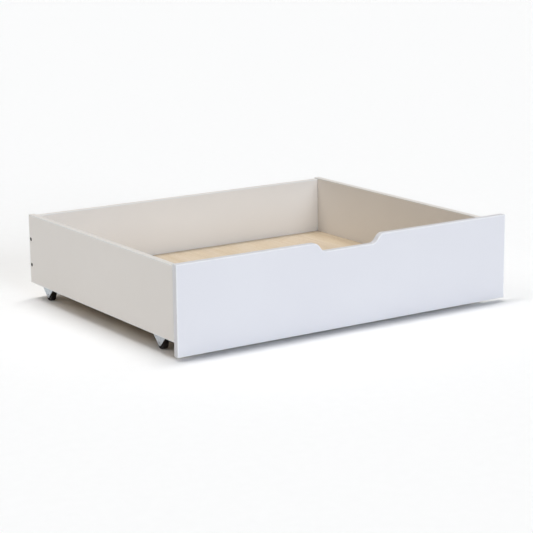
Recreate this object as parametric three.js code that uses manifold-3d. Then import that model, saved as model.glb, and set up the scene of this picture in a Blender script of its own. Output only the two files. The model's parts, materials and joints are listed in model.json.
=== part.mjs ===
// Under-bed drawer on four rigid castors, in millimetres.
// +X runs to the right along the front, +Y runs to the rear, +Z is up.
// The origin is on the floor, below the middle of the drawer's outline.
import * as THREE from "three";
import { mergeVertices } from "three/addons/utils/BufferGeometryUtils.js";
import Module from "manifold-3d";

const wasm = await Module();
wasm.setup();

// ---- driving dimensions ----
const FRONT_WIDTH = 950;
const DEPTH = 726;
const FRONT_HEIGHT = 212;
const FLOOR_GAP = 9; // from the floor to the lower edge of the front
const BOARD = 16; // thickness of the front, the sides and the back
const RIGHT_OVERHANG = 51; // the front reaches past the right side by this much
const SIDE_BOTTOM = 41;
const SIDE_HEIGHT = 176;
const BACK_DROP = 3; // the back's top lies this far below the tops of the sides
const BASE_TOP = 68;
const BASE_THICK = 6;
const BASE_PLAY = 0.6; // gap all round the base
const GAP = 0.3; // gap between pieces that touch

const CUTOUT_CENTRE = -3;
const CUTOUT_TOP_HALF = 102; // half width where the cut-out leaves the top edge
const CUTOUT_FLOOR_HALF = 67; // half width of its level floor
const CUTOUT_DEPTH = 22;

const SIDE_BATTEN = { width: 28, height: 26 };
const CROSS_BATTEN = { width: 20, height: 18 };
const RAIL_WIDTH = 40;

const WHEEL = { radius: 13.2, width: 15, sides: 24 };
const BRACKET = { width: 20, length: 47, sheet: 1.5, bend: 2.4, skirt: 7.5, tip: 6, screwReach: 18.5 };
const AXLE = { radius: 2, headRadius: 3.8, headLength: 1.1 };
const CASTOR_ROWS = [{ name: "front", y: -247 }, { name: "rear", y: 311 }];

const WOOD_SCREW = { head: 3.5, rim: 0.4, cone: 1.9, shank: 1.75, tip: 4 };
const CONFIRMAT = { head: 4.8, headLength: 3, neck: 3.4, neckLength: 14, shank: 2.6, length: 48, socket: 2.3 };
const CAM = { radius: 7.5, length: 12.4, setback: 34, slotLength: 9, slotWidth: 1.6, slotDepth: 1.5 };
const CAM_BOLT = { head: 3.6, headLength: 2.5, neck: 2.2, thread: 2.8, threadLength: 11 };
const DOWEL = { radius: 4, length: 30, shortReach: 10, chamfer: 1 };
const CASTOR_SCREW_LENGTH = 14;
const RAIL_SCREW_LENGTH = 15;
const BATTEN_SCREW_BITE = 11; // how far a batten screw enters the board behind it

const FITTINGS = [{ name: "lower", z: 88 }, { name: "upper", z: 154 }];
const DOWEL_Z = 121;
const SIDE_SCREW_Y = [-180, 30, 240];
const CROSS_SCREW_X = [-250, 200];

const COARSE = 10; // segments round screws and dowels
const ROUND = 16; // segments round larger fittings

// ---- places worked out from them ----
const leftOuter = -FRONT_WIDTH / 2;
const rightOuter = FRONT_WIDTH / 2 - RIGHT_OVERHANG;
const leftInner = leftOuter + BOARD;
const rightInner = rightOuter - BOARD;
const middleX = (leftInner + rightInner) / 2;
const frontFace = -DEPTH / 2;
const frontBack = frontFace + BOARD;
const rearFace = DEPTH / 2;
const rearInner = rearFace - BOARD;
const rearBoardY = (rearFace + rearInner) / 2;
const frontTop = FLOOR_GAP + FRONT_HEIGHT;
const sideTop = SIDE_BOTTOM + SIDE_HEIGHT;
const baseUnder = BASE_TOP - BASE_THICK;
const battenTop = baseUnder - GAP;
const sideBattenBottom = battenTop - SIDE_BATTEN.height;
const crossBattenBottom = battenTop - CROSS_BATTEN.height;
const crossBattenZ = battenTop - CROSS_BATTEN.height / 2;
const sideScrewZ = SIDE_BOTTOM + 10;
const plateTop = sideBattenBottom - GAP;
const plateUnder = plateTop - BRACKET.sheet;
const axleZ = WHEEL.radius;
const camY = frontBack + GAP + CAM.setback;

// inward points from the side board to the middle of the drawer.
const SIDES = [
  { name: "left", outer: leftOuter, inner: leftInner, inward: 1 },
  { name: "right", outer: rightOuter, inner: rightInner, inward: -1 },
];
for (const side of SIDES) {
  side.board = (side.outer + side.inner) / 2;
  side.battenOuter = side.inner + side.inward * GAP;
  side.battenInner = side.battenOuter + side.inward * SIDE_BATTEN.width;
  side.batten = (side.battenOuter + side.battenInner) / 2;
}

// The boards at the front and the rear. inward points from the board to the middle.
const ENDS = [
  { name: "front", inner: frontBack, inward: 1 },
  { name: "back", inner: rearInner, inward: -1 },
];
for (const end of ENDS) {
  end.battenOuter = end.inner + end.inward * GAP;
  end.battenInner = end.battenOuter + end.inward * CROSS_BATTEN.width;
  end.batten = (end.battenOuter + end.battenInner) / 2;
}

// ---- finishes ----
const FINISH = {
  white: { color: 0xe4e4e2, roughness: 0.42, metalness: 0 },
  ply: { color: 0xd8c09a, roughness: 0.6, metalness: 0 },
  pine: { color: 0xd9bd8c, roughness: 0.7, metalness: 0 },
  beech: { color: 0xcfa877, roughness: 0.65, metalness: 0 },
  zinc: { color: 0xb4bcc2, roughness: 0.32, metalness: 1 },
  steel: { color: 0x8e9194, roughness: 0.35, metalness: 1 },
  dark: { color: 0x3c3a38, roughness: 0.4, metalness: 1 },
  black: { color: 0x17171a, roughness: 0.5, metalness: 0 },
};

// ---- solids ----
function toSolid(geometry) {
  geometry.deleteAttribute("normal");
  geometry.deleteAttribute("uv");
  const merged = mergeVertices(geometry, 1e-4);
  return new wasm.Manifold(new wasm.Mesh({
    numProp: 3,
    vertProperties: new Float32Array(merged.attributes.position.array),
    triVerts: new Uint32Array(merged.index.array),
  }));
}

function toGeometry(solid) {
  const mesh = solid.getMesh();
  const geometry = new THREE.BufferGeometry();
  geometry.setAttribute("position", new THREE.BufferAttribute(mesh.vertProperties, 3));
  geometry.setIndex(new THREE.BufferAttribute(mesh.triVerts, 1));
  geometry.computeVertexNormals();
  return geometry;
}

// A box between two opposite corners, given in any order.
function box(a, b) {
  const size = a.map((value, i) => Math.abs(b[i] - value));
  const centre = a.map((value, i) => (value + b[i]) / 2);
  return toSolid(new THREE.BoxGeometry(...size).translate(...centre));
}

// A profile of [radius, distance] pairs, turned about the line that leaves `from` along `direction`.
function turned(profile, from, direction, segments) {
  const points = profile.map(([radius, along]) => new THREE.Vector2(radius, along));
  const geometry = new THREE.LatheGeometry(points, segments);
  const up = new THREE.Vector3(0, 1, 0);
  const aim = new THREE.Vector3(...direction);
  geometry.applyQuaternion(new THREE.Quaternion().setFromUnitVectors(up, aim));
  return toSolid(geometry.translate(...from));
}

function rod(radius, from, direction, length, segments) {
  return turned([[0, 0], [radius, 0], [radius, length], [0, length]], from, direction, segments);
}

// An outline drawn in X and Z, given thickness from y0 to y1.
function slabAlongY(shape, y0, y1) {
  const geometry = new THREE.ExtrudeGeometry(shape, { depth: y1 - y0, bevelEnabled: false, curveSegments: 6 });
  return toSolid(geometry.rotateX(Math.PI / 2).translate(0, y1, 0));
}

// An outline drawn in Y and Z, given thickness from x0 to x1.
function slabAlongX(shape, x0, x1) {
  const geometry = new THREE.ExtrudeGeometry(shape, { depth: x1 - x0, bevelEnabled: false, curveSegments: 6 });
  return toSolid(geometry.rotateX(Math.PI / 2).rotateZ(Math.PI / 2).translate(x0, 0, 0));
}

function cut(solid, tools) {
  return tools.reduce((left, tool) => left.subtract(tool), solid);
}

const drawer = new THREE.Group();

function addPiece(name, solid, finish) {
  const mesh = new THREE.Mesh(toGeometry(solid), new THREE.MeshStandardMaterial(FINISH[finish]));
  mesh.name = name;
  drawer.add(mesh);
}

// ---- fasteners ----
// A countersunk wood screw whose head lies flush at `from`.
function woodScrew(from, direction, length) {
  const { head, rim, cone, shank, tip } = WOOD_SCREW;
  const profile = [[0, 0], [head, 0], [head, rim], [shank, cone], [shank, length - tip], [0, length]];
  return turned(profile, from, direction, COARSE);
}

// The countersunk hole that such a screw sits in.
function woodScrewHole(from, direction, length) {
  const { head, rim, cone, shank } = WOOD_SCREW;
  const profile = [
    [0, -1], [head + GAP, -1], [head + GAP, rim + GAP], [shank + GAP, cone + GAP],
    [shank + GAP, length + GAP], [0, length + GAP],
  ];
  return turned(profile, from, direction, COARSE);
}

// A pan-head screw. Its head bears on a plate at `from`, and its shank runs along `direction`.
function panScrew(from, direction, length) {
  const { head, shank, tip } = WOOD_SCREW;
  const profile = [
    [0, -2], [head * 0.7, -2], [head, -1], [head, 0], [shank, 0], [shank, length - tip], [0, length],
  ];
  return turned(profile, from, direction, COARSE);
}

// A one-piece connecting screw with a hexagon socket in its head.
function confirmat(from, direction) {
  const { head, headLength, neck, neckLength, shank, length, socket } = CONFIRMAT;
  const profile = [
    [0, 0], [head, 0], [head, headLength - 1], [neck, headLength], [neck, neckLength],
    [shank, neckLength + 1], [shank, length - 2], [0, length],
  ];
  const key = rod(socket, from.map((value, i) => value - direction[i]), direction, headLength + 1, 6);
  return turned(profile, from, direction, ROUND).subtract(key);
}

function confirmatHole(from, direction) {
  const { head, headLength, neck, neckLength, shank, length } = CONFIRMAT;
  const profile = [
    [0, -1], [head + GAP, -1], [head + GAP, headLength - 1 + GAP], [neck + GAP, headLength + GAP],
    [neck + GAP, neckLength + GAP], [shank + GAP, neckLength + 1 + GAP], [shank + GAP, length + GAP],
    [0, length + GAP],
  ];
  return turned(profile, from, direction, ROUND);
}

function dowel(from, direction) {
  const { radius, length, chamfer } = DOWEL;
  const profile = [
    [0, 0], [radius - chamfer, 0], [radius, chamfer], [radius, length - chamfer],
    [radius - chamfer, length], [0, length],
  ];
  return turned(profile, from, direction, COARSE);
}

function dowelHole(from, direction) {
  const start = from.map((value, i) => value - direction[i] * GAP);
  return rod(DOWEL.radius + GAP, start, direction, DOWEL.length + 2 * GAP, COARSE);
}

// Where each fastener starts, and which way it runs.
const camAt = (side, fitting) => [side.inner - side.inward * GAP, camY, fitting.z];
const camBoltAt = (side, fitting) => [side.board, camY, fitting.z];
const rearScrewAt = (side, fitting) => [side.outer + side.inward * GAP, rearBoardY, fitting.z];
const frontDowelAt = (side) => [side.board, frontBack - DOWEL.shortReach, DOWEL_Z];
const rearDowelAt = (side) => [side.inner - side.inward * DOWEL.shortReach, rearBoardY, DOWEL_Z];
const sideScrewAt = (side, y) => [side.battenInner, y, sideScrewZ];
const crossScrewAt = (end, x) => [x, end.battenInner, crossBattenZ];
const railScrewAt = (end) => [middleX, end.batten, battenTop];

const FORWARD = [0, -1, 0];
const REARWARD = [0, 1, 0];
const UP = [0, 0, 1];
const DOWN = [0, 0, -1];
const toMiddle = (side) => [side.inward, 0, 0];
const toBoard = (side) => [-side.inward, 0, 0];
const toEnd = (end) => [0, -end.inward, 0];

const boltLength = CAM.setback + GAP + CAM_BOLT.threadLength;
const sideScrewLength = SIDE_BATTEN.width + BATTEN_SCREW_BITE;
const crossScrewLength = CROSS_BATTEN.width + BATTEN_SCREW_BITE;

// The bore that a cam bolt needs in the side board, and the narrower one in the front.
const camBoltBore = (side, fitting) =>
  rod(CAM_BOLT.head + GAP, camBoltAt(side, fitting), FORWARD, CAM.setback + 1, COARSE);
const camBoltPilot = (side, fitting) =>
  rod(CAM_BOLT.thread + GAP, camBoltAt(side, fitting), FORWARD, boltLength + GAP, COARSE);

// ---- front ----
// A cut-out shoulder is two curves that meet on its slope: a round one at the top edge and a hollow
// one at the foot. The shares say how far along the shoulder each of its points lies.
const SHOULDER_SHARES = { roundOver: 0.29, slope: 0.515, hollow: 0.74 };

function addShoulder(shape, sign, goesDown) {
  const run = CUTOUT_TOP_HALF - CUTOUT_FLOOR_HALF;
  const floor = frontTop - CUTOUT_DEPTH;
  const at = (share, z) => [CUTOUT_CENTRE + sign * (CUTOUT_TOP_HALF - share * run), z];
  const roundOver = at(SHOULDER_SHARES.roundOver, frontTop);
  const slope = at(SHOULDER_SHARES.slope, (frontTop + floor) / 2);
  const hollow = at(SHOULDER_SHARES.hollow, floor);
  if (goesDown) {
    shape.lineTo(...at(0, frontTop));
    shape.quadraticCurveTo(...roundOver, ...slope);
    shape.quadraticCurveTo(...hollow, ...at(1, floor));
  } else {
    shape.lineTo(...at(1, floor));
    shape.quadraticCurveTo(...hollow, ...slope);
    shape.quadraticCurveTo(...roundOver, ...at(0, frontTop));
  }
}

function makeFront() {
  const shape = new THREE.Shape();
  shape.moveTo(-FRONT_WIDTH / 2, FLOOR_GAP);
  shape.lineTo(FRONT_WIDTH / 2, FLOOR_GAP);
  shape.lineTo(FRONT_WIDTH / 2, frontTop);
  addShoulder(shape, 1, true);
  addShoulder(shape, -1, false);
  shape.lineTo(-FRONT_WIDTH / 2, frontTop);
  shape.closePath();
  const holes = SIDES.flatMap((side) => [
    ...FITTINGS.map((fitting) => camBoltPilot(side, fitting)),
    dowelHole(frontDowelAt(side), REARWARD),
  ]);
  const screwHoles = CROSS_SCREW_X.map((x) => woodScrewHole(crossScrewAt(ENDS[0], x), FORWARD, crossScrewLength));
  addPiece("front_panel", cut(slabAlongY(shape, frontFace, frontBack), [...holes, ...screwHoles]), "white");
}

// ---- sides, back and base ----
function makeSide(side) {
  const board = box([side.outer, frontBack + GAP, SIDE_BOTTOM], [side.inner, rearFace, sideTop]);
  const camHole = (fitting) => {
    const start = [side.inner + side.inward, camY, fitting.z];
    return rod(CAM.radius + GAP, start, toBoard(side), CAM.length + 1 + 2 * GAP, ROUND);
  };
  addPiece(`side_panel_${side.name}`, cut(board, [
    ...FITTINGS.map(camHole),
    ...FITTINGS.map((fitting) => camBoltBore(side, fitting)),
    ...FITTINGS.map((fitting) => confirmatHole(rearScrewAt(side, fitting), toMiddle(side))),
    dowelHole(frontDowelAt(side), REARWARD),
    dowelHole(rearDowelAt(side), toMiddle(side)),
    ...SIDE_SCREW_Y.map((y) => woodScrewHole(sideScrewAt(side, y), toBoard(side), sideScrewLength)),
  ]), "white");
}

function makeBack() {
  const low = [leftInner + GAP, rearInner, SIDE_BOTTOM];
  const high = [rightInner - GAP, rearFace, sideTop - BACK_DROP];
  const holes = SIDES.flatMap((side) => [
    ...FITTINGS.map((fitting) => confirmatHole(rearScrewAt(side, fitting), toMiddle(side))),
    dowelHole(rearDowelAt(side), toMiddle(side)),
  ]);
  const screwHoles = CROSS_SCREW_X.map((x) => woodScrewHole(crossScrewAt(ENDS[1], x), REARWARD, crossScrewLength));
  addPiece("back_panel", cut(box(low, high), [...holes, ...screwHoles]), "white");
}

function makeBase() {
  const low = [leftInner + BASE_PLAY, frontBack + BASE_PLAY, baseUnder];
  const high = [rightInner - BASE_PLAY, rearInner - BASE_PLAY, BASE_TOP];
  addPiece("base_panel", box(low, high), "ply");
}

// ---- battens below the base ----
function makeSideBatten(side) {
  const batten = box(
    [side.battenOuter, frontBack + GAP, sideBattenBottom],
    [side.battenInner, rearInner - GAP, battenTop],
  );
  const castorPilots = castorScrewPlaces(side).map(({ x, y }) =>
    rod(WOOD_SCREW.shank + GAP, [x, y, plateUnder], UP, CASTOR_SCREW_LENGTH + GAP, COARSE));
  addPiece(`batten_${side.name}`, cut(batten, [
    ...SIDE_SCREW_Y.map((y) => woodScrewHole(sideScrewAt(side, y), toBoard(side), sideScrewLength)),
    ...castorPilots,
  ]), "pine");
}

// The rail's ends are halved into the front and back battens.
const lapZ = battenTop - CROSS_BATTEN.height / 2;

function makeCrossBatten(end) {
  const [left, right] = SIDES;
  const batten = box(
    [left.battenInner + GAP, end.battenOuter, crossBattenBottom],
    [right.battenInner - GAP, end.battenInner, battenTop],
  );
  const notch = box(
    [middleX - RAIL_WIDTH / 2 - GAP, end.battenOuter - end.inward, lapZ - GAP],
    [middleX + RAIL_WIDTH / 2 + GAP, end.battenInner + end.inward, battenTop + 1],
  );
  addPiece(`batten_${end.name}`, cut(batten, [
    notch,
    ...CROSS_SCREW_X.map((x) => woodScrewHole(crossScrewAt(end, x), toEnd(end), crossScrewLength)),
    woodScrewHole(railScrewAt(end), DOWN, RAIL_SCREW_LENGTH),
  ]), "pine");
}

function makeRail() {
  const [front, back] = ENDS;
  const half = RAIL_WIDTH / 2;
  const lap = box([middleX - half, front.battenOuter, lapZ], [middleX + half, back.battenOuter, battenTop]);
  const body = box(
    [middleX - half, front.battenInner + GAP, crossBattenBottom],
    [middleX + half, back.battenInner - GAP, battenTop],
  );
  const holes = ENDS.map((end) => woodScrewHole(railScrewAt(end), DOWN, RAIL_SCREW_LENGTH));
  addPiece("centre_rail", cut(lap.add(body), holes), "pine");
}

// ---- castors ----
function castorScrewPlaces(side) {
  return CASTOR_ROWS.flatMap((row) => [
    { name: `${row.name}_${side.name}_a`, x: side.batten, y: row.y - BRACKET.screwReach },
    { name: `${row.name}_${side.name}_b`, x: side.batten, y: row.y + BRACKET.screwReach },
  ]);
}

// The leg's outline: a short skirt below the plate, then straight edges that run in to a round tip.
function legOutline(y) {
  const half = BRACKET.length / 2;
  const skirtZ = plateTop - BRACKET.skirt;
  const reach = Math.hypot(half, skirtZ - axleZ);
  const lean = Math.atan2(skirtZ - axleZ, half);
  const tangent = lean - Math.acos(BRACKET.tip / reach);
  const shape = new THREE.Shape();
  shape.moveTo(y - half, plateTop);
  shape.lineTo(y - half, skirtZ);
  shape.absarc(y, axleZ, BRACKET.tip, -Math.PI - tangent, tangent, false);
  shape.lineTo(y + half, skirtZ);
  shape.lineTo(y + half, plateTop);
  shape.closePath();
  return shape;
}

// The folded sheet seen from the front: a plate with a leg turned down at each edge.
function foldedSection(x) {
  const half = BRACKET.width / 2;
  const inner = half - BRACKET.sheet;
  const low = axleZ - BRACKET.tip - 1;
  const shape = new THREE.Shape();
  shape.moveTo(x - half, low);
  shape.lineTo(x - inner, low);
  shape.lineTo(x - inner, plateUnder - BRACKET.bend + BRACKET.sheet);
  shape.lineTo(x - inner + BRACKET.bend - BRACKET.sheet, plateUnder);
  shape.lineTo(x + inner - BRACKET.bend + BRACKET.sheet, plateUnder);
  shape.lineTo(x + inner, plateUnder - BRACKET.bend + BRACKET.sheet);
  shape.lineTo(x + inner, low);
  shape.lineTo(x + half, low);
  shape.lineTo(x + half, plateTop - BRACKET.bend);
  shape.absarc(x + half - BRACKET.bend, plateTop - BRACKET.bend, BRACKET.bend, 0, Math.PI / 2, false);
  shape.absarc(x - half + BRACKET.bend, plateTop - BRACKET.bend, BRACKET.bend, Math.PI / 2, Math.PI, false);
  shape.closePath();
  return shape;
}

function makeBracket(name, x, y) {
  const half = BRACKET.width / 2;
  const section = slabAlongY(foldedSection(x), y - BRACKET.length / 2 - 1, y + BRACKET.length / 2 + 1);
  const legs = slabAlongX(legOutline(y), x - half - 1, x + half + 1);
  const axleHole = rod(AXLE.radius + GAP, [x - half - 1, y, axleZ], [1, 0, 0], BRACKET.width + 2, COARSE);
  const screwHoles = [-1, 1].map((sign) =>
    rod(WOOD_SCREW.shank + GAP, [x, y + sign * BRACKET.screwReach, plateUnder - 1], UP, BRACKET.sheet + 2, COARSE));
  addPiece(`castor_bracket_${name}`, cut(section.intersect(legs), [axleHole, ...screwHoles]), "zinc");
}

function makeAxle(name, x, y) {
  const { radius, headRadius, headLength } = AXLE;
  const grip = BRACKET.width + 2 * GAP;
  const profile = [
    [0, 0], [headRadius - 0.8, 0], [headRadius, headLength], [radius, headLength],
    [radius, headLength + grip], [headRadius, headLength + grip],
    [headRadius - 0.8, 2 * headLength + grip], [0, 2 * headLength + grip],
  ];
  addPiece(`castor_axle_${name}`, turned(profile, [x - grip / 2 - headLength, y, axleZ], [1, 0, 0], COARSE), "steel");
}

// The wheel's section: a hub, a dished face, and a tread with two grooves.
function makeWheel(name, x, y) {
  const { radius, width, sides } = WHEEL;
  const bore = AXLE.radius + GAP;
  const grooves = [width * 0.35, width * 0.65].flatMap((along) => [
    [radius, along - 0.9], [radius - 0.8, along - 0.5], [radius - 0.8, along + 0.5], [radius, along + 0.9],
  ]);
  const profile = [
    [bore, 0], [5, 0], [5.4, 0.8], [10, 0.8], [10.6, 0.1], [radius - 0.9, 0.1], [radius, 1],
    ...grooves,
    [radius, width - 1], [radius - 0.9, width - 0.1], [10.6, width - 0.1], [10, width - 0.8],
    [5.4, width - 0.8], [5, width], [bore, width], [bore, 0],
  ];
  addPiece(`castor_wheel_${name}`, turned(profile, [x - width / 2, y, axleZ], [1, 0, 0], sides), "black");
}

function makeCastor(row, side) {
  const name = `${row.name}_${side.name}`;
  makeBracket(name, side.batten, row.y);
  makeAxle(name, side.batten, row.y);
  makeWheel(name, side.batten, row.y);
}

// ---- fittings in the boards ----
function makeCam(name, side, fitting) {
  const from = camAt(side, fitting);
  const [x, y, z] = from;
  const depth = x - side.inward * CAM.slotDepth;
  const face = x + side.inward;
  const long = CAM.slotLength / 2;
  const thin = CAM.slotWidth / 2;
  addPiece(`cam_lock_${name}`, cut(rod(CAM.radius, from, toBoard(side), CAM.length, ROUND), [
    rod(CAM_BOLT.head + GAP, [side.board, camY + CAM_BOLT.head, fitting.z], FORWARD, CAM.setback, COARSE),
    box([depth, y - long, z - thin], [face, y + long, z + thin]),
    box([depth, y - thin, z - long], [face, y + thin, z + long]),
  ]), "zinc");
}

function makeCamBolt(name, side, fitting) {
  const { head, headLength, neck, thread, threadLength } = CAM_BOLT;
  const threadStart = boltLength - threadLength;
  const profile = [
    [0, 0], [head, 0], [head, headLength], [neck, headLength], [neck, threadStart],
    [thread, threadStart], [thread, boltLength - 1], [0, boltLength],
  ];
  addPiece(`cam_bolt_${name}`, turned(profile, camBoltAt(side, fitting), FORWARD, COARSE), "steel");
}

makeFront();
makeBack();
makeBase();
makeRail();
ENDS.forEach(makeCrossBatten);
for (const side of SIDES) {
  makeSide(side);
  makeSideBatten(side);
  CASTOR_ROWS.forEach((row) => makeCastor(row, side));
  for (const { name, x, y } of castorScrewPlaces(side)) {
    addPiece(`castor_screw_${name}`, panScrew([x, y, plateUnder - GAP], UP, CASTOR_SCREW_LENGTH), "steel");
  }
  for (const fitting of FITTINGS) {
    const name = `${side.name}_${fitting.name}`;
    makeCam(name, side, fitting);
    makeCamBolt(name, side, fitting);
    addPiece(`rear_screw_${name}`, confirmat(rearScrewAt(side, fitting), toMiddle(side)), "dark");
  }
  addPiece(`dowel_front_${side.name}`, dowel(frontDowelAt(side), REARWARD), "beech");
  addPiece(`dowel_rear_${side.name}`, dowel(rearDowelAt(side), toMiddle(side)), "beech");
  SIDE_SCREW_Y.forEach((y, i) => {
    const screw = woodScrew(sideScrewAt(side, y), toBoard(side), sideScrewLength);
    addPiece(`batten_screw_${side.name}_${i + 1}`, screw, "steel");
  });
}
for (const end of ENDS) {
  CROSS_SCREW_X.forEach((x, i) => {
    const screw = woodScrew(crossScrewAt(end, x), toEnd(end), crossScrewLength);
    addPiece(`batten_screw_${end.name}_${i + 1}`, screw, "steel");
  });
  addPiece(`rail_screw_${end.name}`, woodScrew(railScrewAt(end), DOWN, RAIL_SCREW_LENGTH), "steel");
}

export default drawer;
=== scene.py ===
import json
import math

import bmesh
import bpy
from mathutils import Matrix, Vector


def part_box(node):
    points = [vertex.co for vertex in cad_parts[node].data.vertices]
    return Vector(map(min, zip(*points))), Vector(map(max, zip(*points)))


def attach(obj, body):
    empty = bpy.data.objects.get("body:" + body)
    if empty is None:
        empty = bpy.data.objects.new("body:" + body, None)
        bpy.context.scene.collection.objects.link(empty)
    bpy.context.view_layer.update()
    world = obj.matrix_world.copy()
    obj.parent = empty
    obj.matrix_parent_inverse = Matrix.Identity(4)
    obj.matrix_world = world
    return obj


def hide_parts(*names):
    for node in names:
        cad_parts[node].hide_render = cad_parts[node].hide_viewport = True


# The looks of an under-bed drawer on four castors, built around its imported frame.
# Everything is in metres in the row frame: +X along the front, +Y to the rear, +Z up.
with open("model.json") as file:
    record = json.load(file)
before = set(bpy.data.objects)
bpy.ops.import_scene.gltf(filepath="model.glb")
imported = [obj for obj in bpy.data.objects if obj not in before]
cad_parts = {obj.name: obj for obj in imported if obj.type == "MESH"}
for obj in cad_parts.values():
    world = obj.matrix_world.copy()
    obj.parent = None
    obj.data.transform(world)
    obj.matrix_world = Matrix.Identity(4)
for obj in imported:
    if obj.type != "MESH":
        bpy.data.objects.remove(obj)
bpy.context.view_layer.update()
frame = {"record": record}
scene = bpy.context.scene

MM = 0.001
GAP = 0.3 * MM  # what the frame leaves between pieces that touch
X, Y, Z = Vector((1, 0, 0)), Vector((0, 1, 0)), Vector((0, 0, 1))

# ---- camera ----
CAMERA_PLACE = Vector((-2.3865, -3.6013, 1.0854))
CAMERA_AIM = Vector((-0.0005, -0.0064, 0.0862))
CAMERA_ROLL = math.radians(-0.553)
CAMERA_LENS = 118.9  # in millimetres, on a 36 mm sensor


def make_camera():
    data = bpy.data.cameras.new("camera")
    data.lens = CAMERA_LENS
    data.sensor_width = 36
    data.clip_end = 100
    camera = bpy.data.objects.new("camera", data)
    aim = (CAMERA_AIM - CAMERA_PLACE).to_track_quat("-Z", "Y").to_matrix().to_4x4()
    camera.matrix_world = Matrix.Translation(CAMERA_PLACE) @ aim @ Matrix.Rotation(CAMERA_ROLL, 4, "Z")
    scene.collection.objects.link(camera)
    scene.camera = camera


# ---- light and floor ----
WORLD_LIGHT = 0.15
WORLD_TINT = (0.88, 0.94, 1.0)
# A long softbox overhead, as a row of suns from left to right.
SOFTBOX_TILTS = (-0.30, -0.15, 0.0, 0.15, 0.30)
SOFTBOX_LEAN = 0.115  # how far to the rear it hangs, for each metre of height
SOFTBOX_SHARE = 0.318  # the irradiance from each sun of the row
SOFTBOX_TINT = (1.0, 0.985, 0.965)
# name: (the direction it comes from, irradiance, width in degrees, colour)
SUNS = {
    f"softbox_{i}": (Vector((tilt, SOFTBOX_LEAN, 1.0)), SOFTBOX_SHARE, 9, SOFTBOX_TINT)
    for i, tilt in enumerate(SOFTBOX_TILTS)
}
SUNS["rear_light"] = (Vector((0.0, 0.50, 1.0)), 0.40, 35, (1.0, 0.99, 0.98))
SUNS["front_light"] = (Vector((0.0, -0.96, 0.27)), 1.80, 24, (0.83, 0.90, 1.0))
SUNS["left_light"] = (Vector((-0.78, 0.10, 0.78)), 0.47, 30, (1.0, 0.95, 0.88))
SUNS["right_light"] = (Vector((0.55, 0.0, 0.83)), 0.26, 35, (1.0, 0.97, 0.92))
FLOOR_HALF = 40.0


def make_lights():
    scene.view_settings.view_transform = "Standard"
    world = bpy.data.worlds.new("studio")
    world.use_nodes = True
    background = world.node_tree.nodes["Background"]
    background.inputs["Color"].default_value = (*WORLD_TINT, 1.0)
    background.inputs["Strength"].default_value = WORLD_LIGHT
    scene.world = world
    for name, (source, irradiance, width, colour) in SUNS.items():
        data = bpy.data.lights.new(name, "SUN")
        data.energy = irradiance
        data.angle = math.radians(width)
        data.color = colour
        light = bpy.data.objects.new(name, data)
        light.rotation_mode = "QUATERNION"
        light.rotation_quaternion = (-source).to_track_quat("-Z", "Y")
        scene.collection.objects.link(light)


def make_floor(finish):
    corners = [(-1, -1), (1, -1), (1, 1), (-1, 1)]
    mesh = bpy.data.meshes.new("studio_floor")
    mesh.from_pydata([(x * FLOOR_HALF, y * FLOOR_HALF, 0) for x, y in corners], [], [(0, 1, 2, 3)])
    floor = bpy.data.objects.new("studio_floor", mesh)
    mesh.materials.append(finish)
    scene.collection.objects.link(floor)


# ---- materials ----
def blank_material(name):
    made = bpy.data.materials.new(name)
    made.use_nodes = True
    tree = made.node_tree
    shader = tree.nodes["Principled BSDF"]
    return made, tree, shader


def feed(tree, socket, value):
    """Links a socket, or sets a plain value on it."""
    if isinstance(value, bpy.types.NodeSocket):
        tree.links.new(value, socket)
    else:
        socket.default_value = value


def node(tree, kind, inputs=None, **settings):
    made = tree.nodes.new(kind)
    for name, value in settings.items():
        setattr(made, name, value)
    for key, value in (inputs or {}).items():
        feed(tree, made.inputs[key], value)
    return made


def place_in_piece(tree, scale=(1, 1, 1)):
    """The point on the piece, stretched for grain."""
    coordinates = node(tree, "ShaderNodeTexCoord")
    inputs = {"Vector": coordinates.outputs["Object"], "Scale": scale}
    return node(tree, "ShaderNodeMapping", inputs).outputs["Vector"]


def noise(tree, where, scale, detail=2.0, distortion=0.0, roughness=0.5):
    inputs = {"Vector": where, "Scale": scale, "Detail": detail, "Roughness": roughness}
    inputs["Distortion"] = distortion
    return node(tree, "ShaderNodeTexNoise", inputs).outputs["Fac"]


def remap(tree, value, low, high, to_low, to_high):
    inputs = {"Value": value, "From Min": low, "From Max": high, "To Min": to_low, "To Max": to_high}
    return node(tree, "ShaderNodeMapRange", inputs, clamp=True).outputs["Result"]


def ramp(tree, value, *stops):
    """A colour that runs through (position, colour) stops as the value rises."""
    made = node(tree, "ShaderNodeValToRGB", {"Fac": value})
    elements = made.color_ramp.elements
    while len(elements) < len(stops):
        elements.new(0.5)
    for element, (position, colour) in zip(elements, stops):
        element.position = position
        element.color = (*colour, 1.0)
    return made.outputs["Color"]


def blend(tree, factor, first, second, kind="MIX"):
    made = node(tree, "ShaderNodeMix", data_type="RGBA", blend_type=kind)
    feed(tree, made.inputs["Factor"], factor)
    for socket, value in ((made.inputs[6], first), (made.inputs[7], second)):
        feed(tree, socket, (*value, 1.0) if isinstance(value, tuple) else value)
    return made.outputs[2]


def maths(tree, operation, first, second):
    return node(tree, "ShaderNodeMath", {0: first, 1: second}, operation=operation).outputs["Value"]


def bump(tree, shader, height, depth, strength=1.0):
    inputs = {"Height": height, "Distance": depth, "Strength": strength}
    made = node(tree, "ShaderNodeBump", inputs)
    feed(tree, shader.inputs["Normal"], made.outputs["Normal"])


def edge_share(tree):
    """1 on a rounded edge, falling to 0 a few millimetres into the faces beside it."""
    return node(tree, "ShaderNodeAttribute", attribute_name="edge").outputs["Fac"]


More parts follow.
